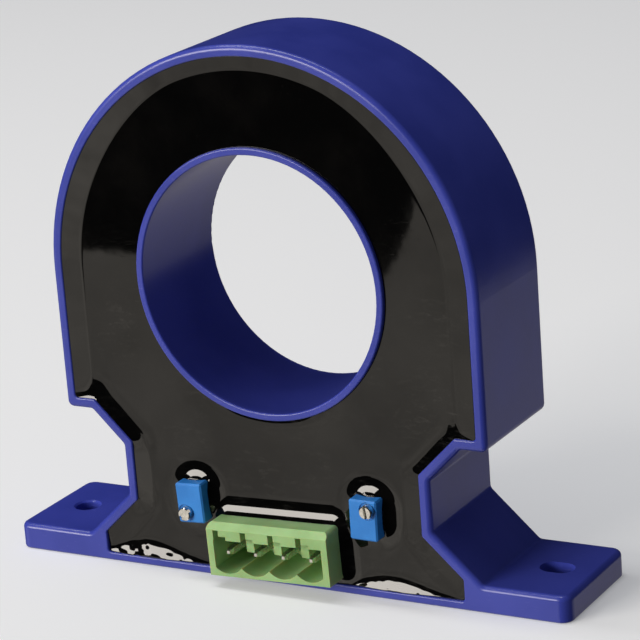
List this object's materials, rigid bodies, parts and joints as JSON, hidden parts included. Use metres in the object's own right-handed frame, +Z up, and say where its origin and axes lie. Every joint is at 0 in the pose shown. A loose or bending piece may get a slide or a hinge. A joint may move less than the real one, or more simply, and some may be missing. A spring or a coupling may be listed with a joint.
{
  "type": "hall effect current sensor",
  "caption": "Hall effect current sensor: a round cable window in an arched case on screw-down feet, with a resin-filled face, a keyed plug-in header and small trimmers.",
  "frame": {"origin": "middle of the underside of the base, below the window's axis and half way through the case", "axes": "+X towards the foot with the slotted hole, +Y through the window from the resin face to the closed back, +Z up"},
  "size_m": [0.1014, 0.0264, 0.0883],
  "materials": {
    "case_plastic": "moulded royal blue, satin",
    "black_resin": "glossy cast resin",
    "green_plastic": "moulded light green, satin",
    "tinned_metal": "tin plated",
    "board_laminate": "glass-fibre laminate with solder mask",
    "core_steel": "wound silicon steel strip",
    "black_plastic": "moulded epoxy",
    "can_aluminium": "drawn and bare",
    "black_ceramic": "glazed",
    "tan_ceramic": "fired ceramic",
    "blue_plastic": "moulded bright blue, satin",
    "nickel_plated_brass": "nickel plated",
    "ring_rubber": "dull",
    "wiper_brass": "rolled strip"
  },
  "bodies": {
    "sensor": {"amplifier_chip": "black_plastic", "amplifier_leads": "tinned_metal", "capacitor_base_1": "black_plastic", "capacitor_base_2": "black_plastic", "capacitor_can_1": "can_aluminium", "capacitor_can_2": "can_aluminium", "casting_resin": "black_resin", "chip_capacitors": "tan_ceramic", "chip_resistors": "black_ceramic", "circuit_board": "board_laminate", "diode_body_1": "black_plastic", "diode_body_2": "black_plastic", "diode_clips_1": "tinned_metal", "diode_clips_2": "tinned_metal", "hall_element": "black_plastic", "hall_lead_1": "tinned_metal", "hall_lead_2": "tinned_metal", "hall_lead_3": "tinned_metal", "header_pin_1": "tinned_metal", "header_pin_2": "tinned_metal", "header_pin_3": "tinned_metal", "header_pin_4": "tinned_metal", "header_shroud": "green_plastic", "housing": "case_plastic", "reference_chip": "black_plastic", "reference_leads": "tinned_metal", "ring_core": "core_steel", "span_trimmer_base": "black_plastic", "span_trimmer_case": "blue_plastic", "span_trimmer_element": "tan_ceramic", "span_trimmer_lead_1": "tinned_metal", "span_trimmer_lead_2": "tinned_metal", "span_trimmer_lead_3": "tinned_metal", "zero_trimmer_base": "black_plastic", "zero_trimmer_case": "blue_plastic", "zero_trimmer_element": "tan_ceramic", "zero_trimmer_lead_1": "tinned_metal", "zero_trimmer_lead_2": "tinned_metal", "zero_trimmer_lead_3": "tinned_metal"},
    "zero_screw": {"zero_trimmer_screw": "nickel_plated_brass", "zero_trimmer_o_ring": "ring_rubber"},
    "zero_carriage": {"zero_trimmer_carriage": "black_plastic", "zero_trimmer_wiper": "wiper_brass"},
    "span_screw": {"span_trimmer_screw": "nickel_plated_brass", "span_trimmer_o_ring": "ring_rubber"},
    "span_carriage": {"span_trimmer_carriage": "black_plastic", "span_trimmer_wiper": "wiper_brass"}
  },
  "joints": [
    {"name": "zero_screw_turn", "type": "hinge", "parent": "sensor", "child": "zero_screw", "pos_m": [-0.01539, 0, 0.01123], "axis": [0, 1, 0], "range_deg": [-2160, 2160]},
    {"name": "zero_carriage_slide", "type": "slide", "parent": "sensor", "child": "zero_carriage", "axis": [0, 1, 0], "range_m": [-0.0015, 0.0015]},
    {"name": "span_screw_turn", "type": "hinge", "parent": "sensor", "child": "span_screw", "pos_m": [0.0181, 0, 0.01547], "axis": [0, 1, 0], "range_deg": [-2160, 2160]},
    {"name": "span_carriage_slide", "type": "slide", "parent": "sensor", "child": "span_carriage", "axis": [0, 1, 0], "range_m": [-0.0015, 0.0015]}
  ],
  "couplings": [
    {"joint": "zero_screw_turn", "follows": "zero_carriage_slide", "rad_per_m": -25133},
    {"joint": "span_screw_turn", "follows": "span_carriage_slide", "rad_per_m": -25133}
  ]
}
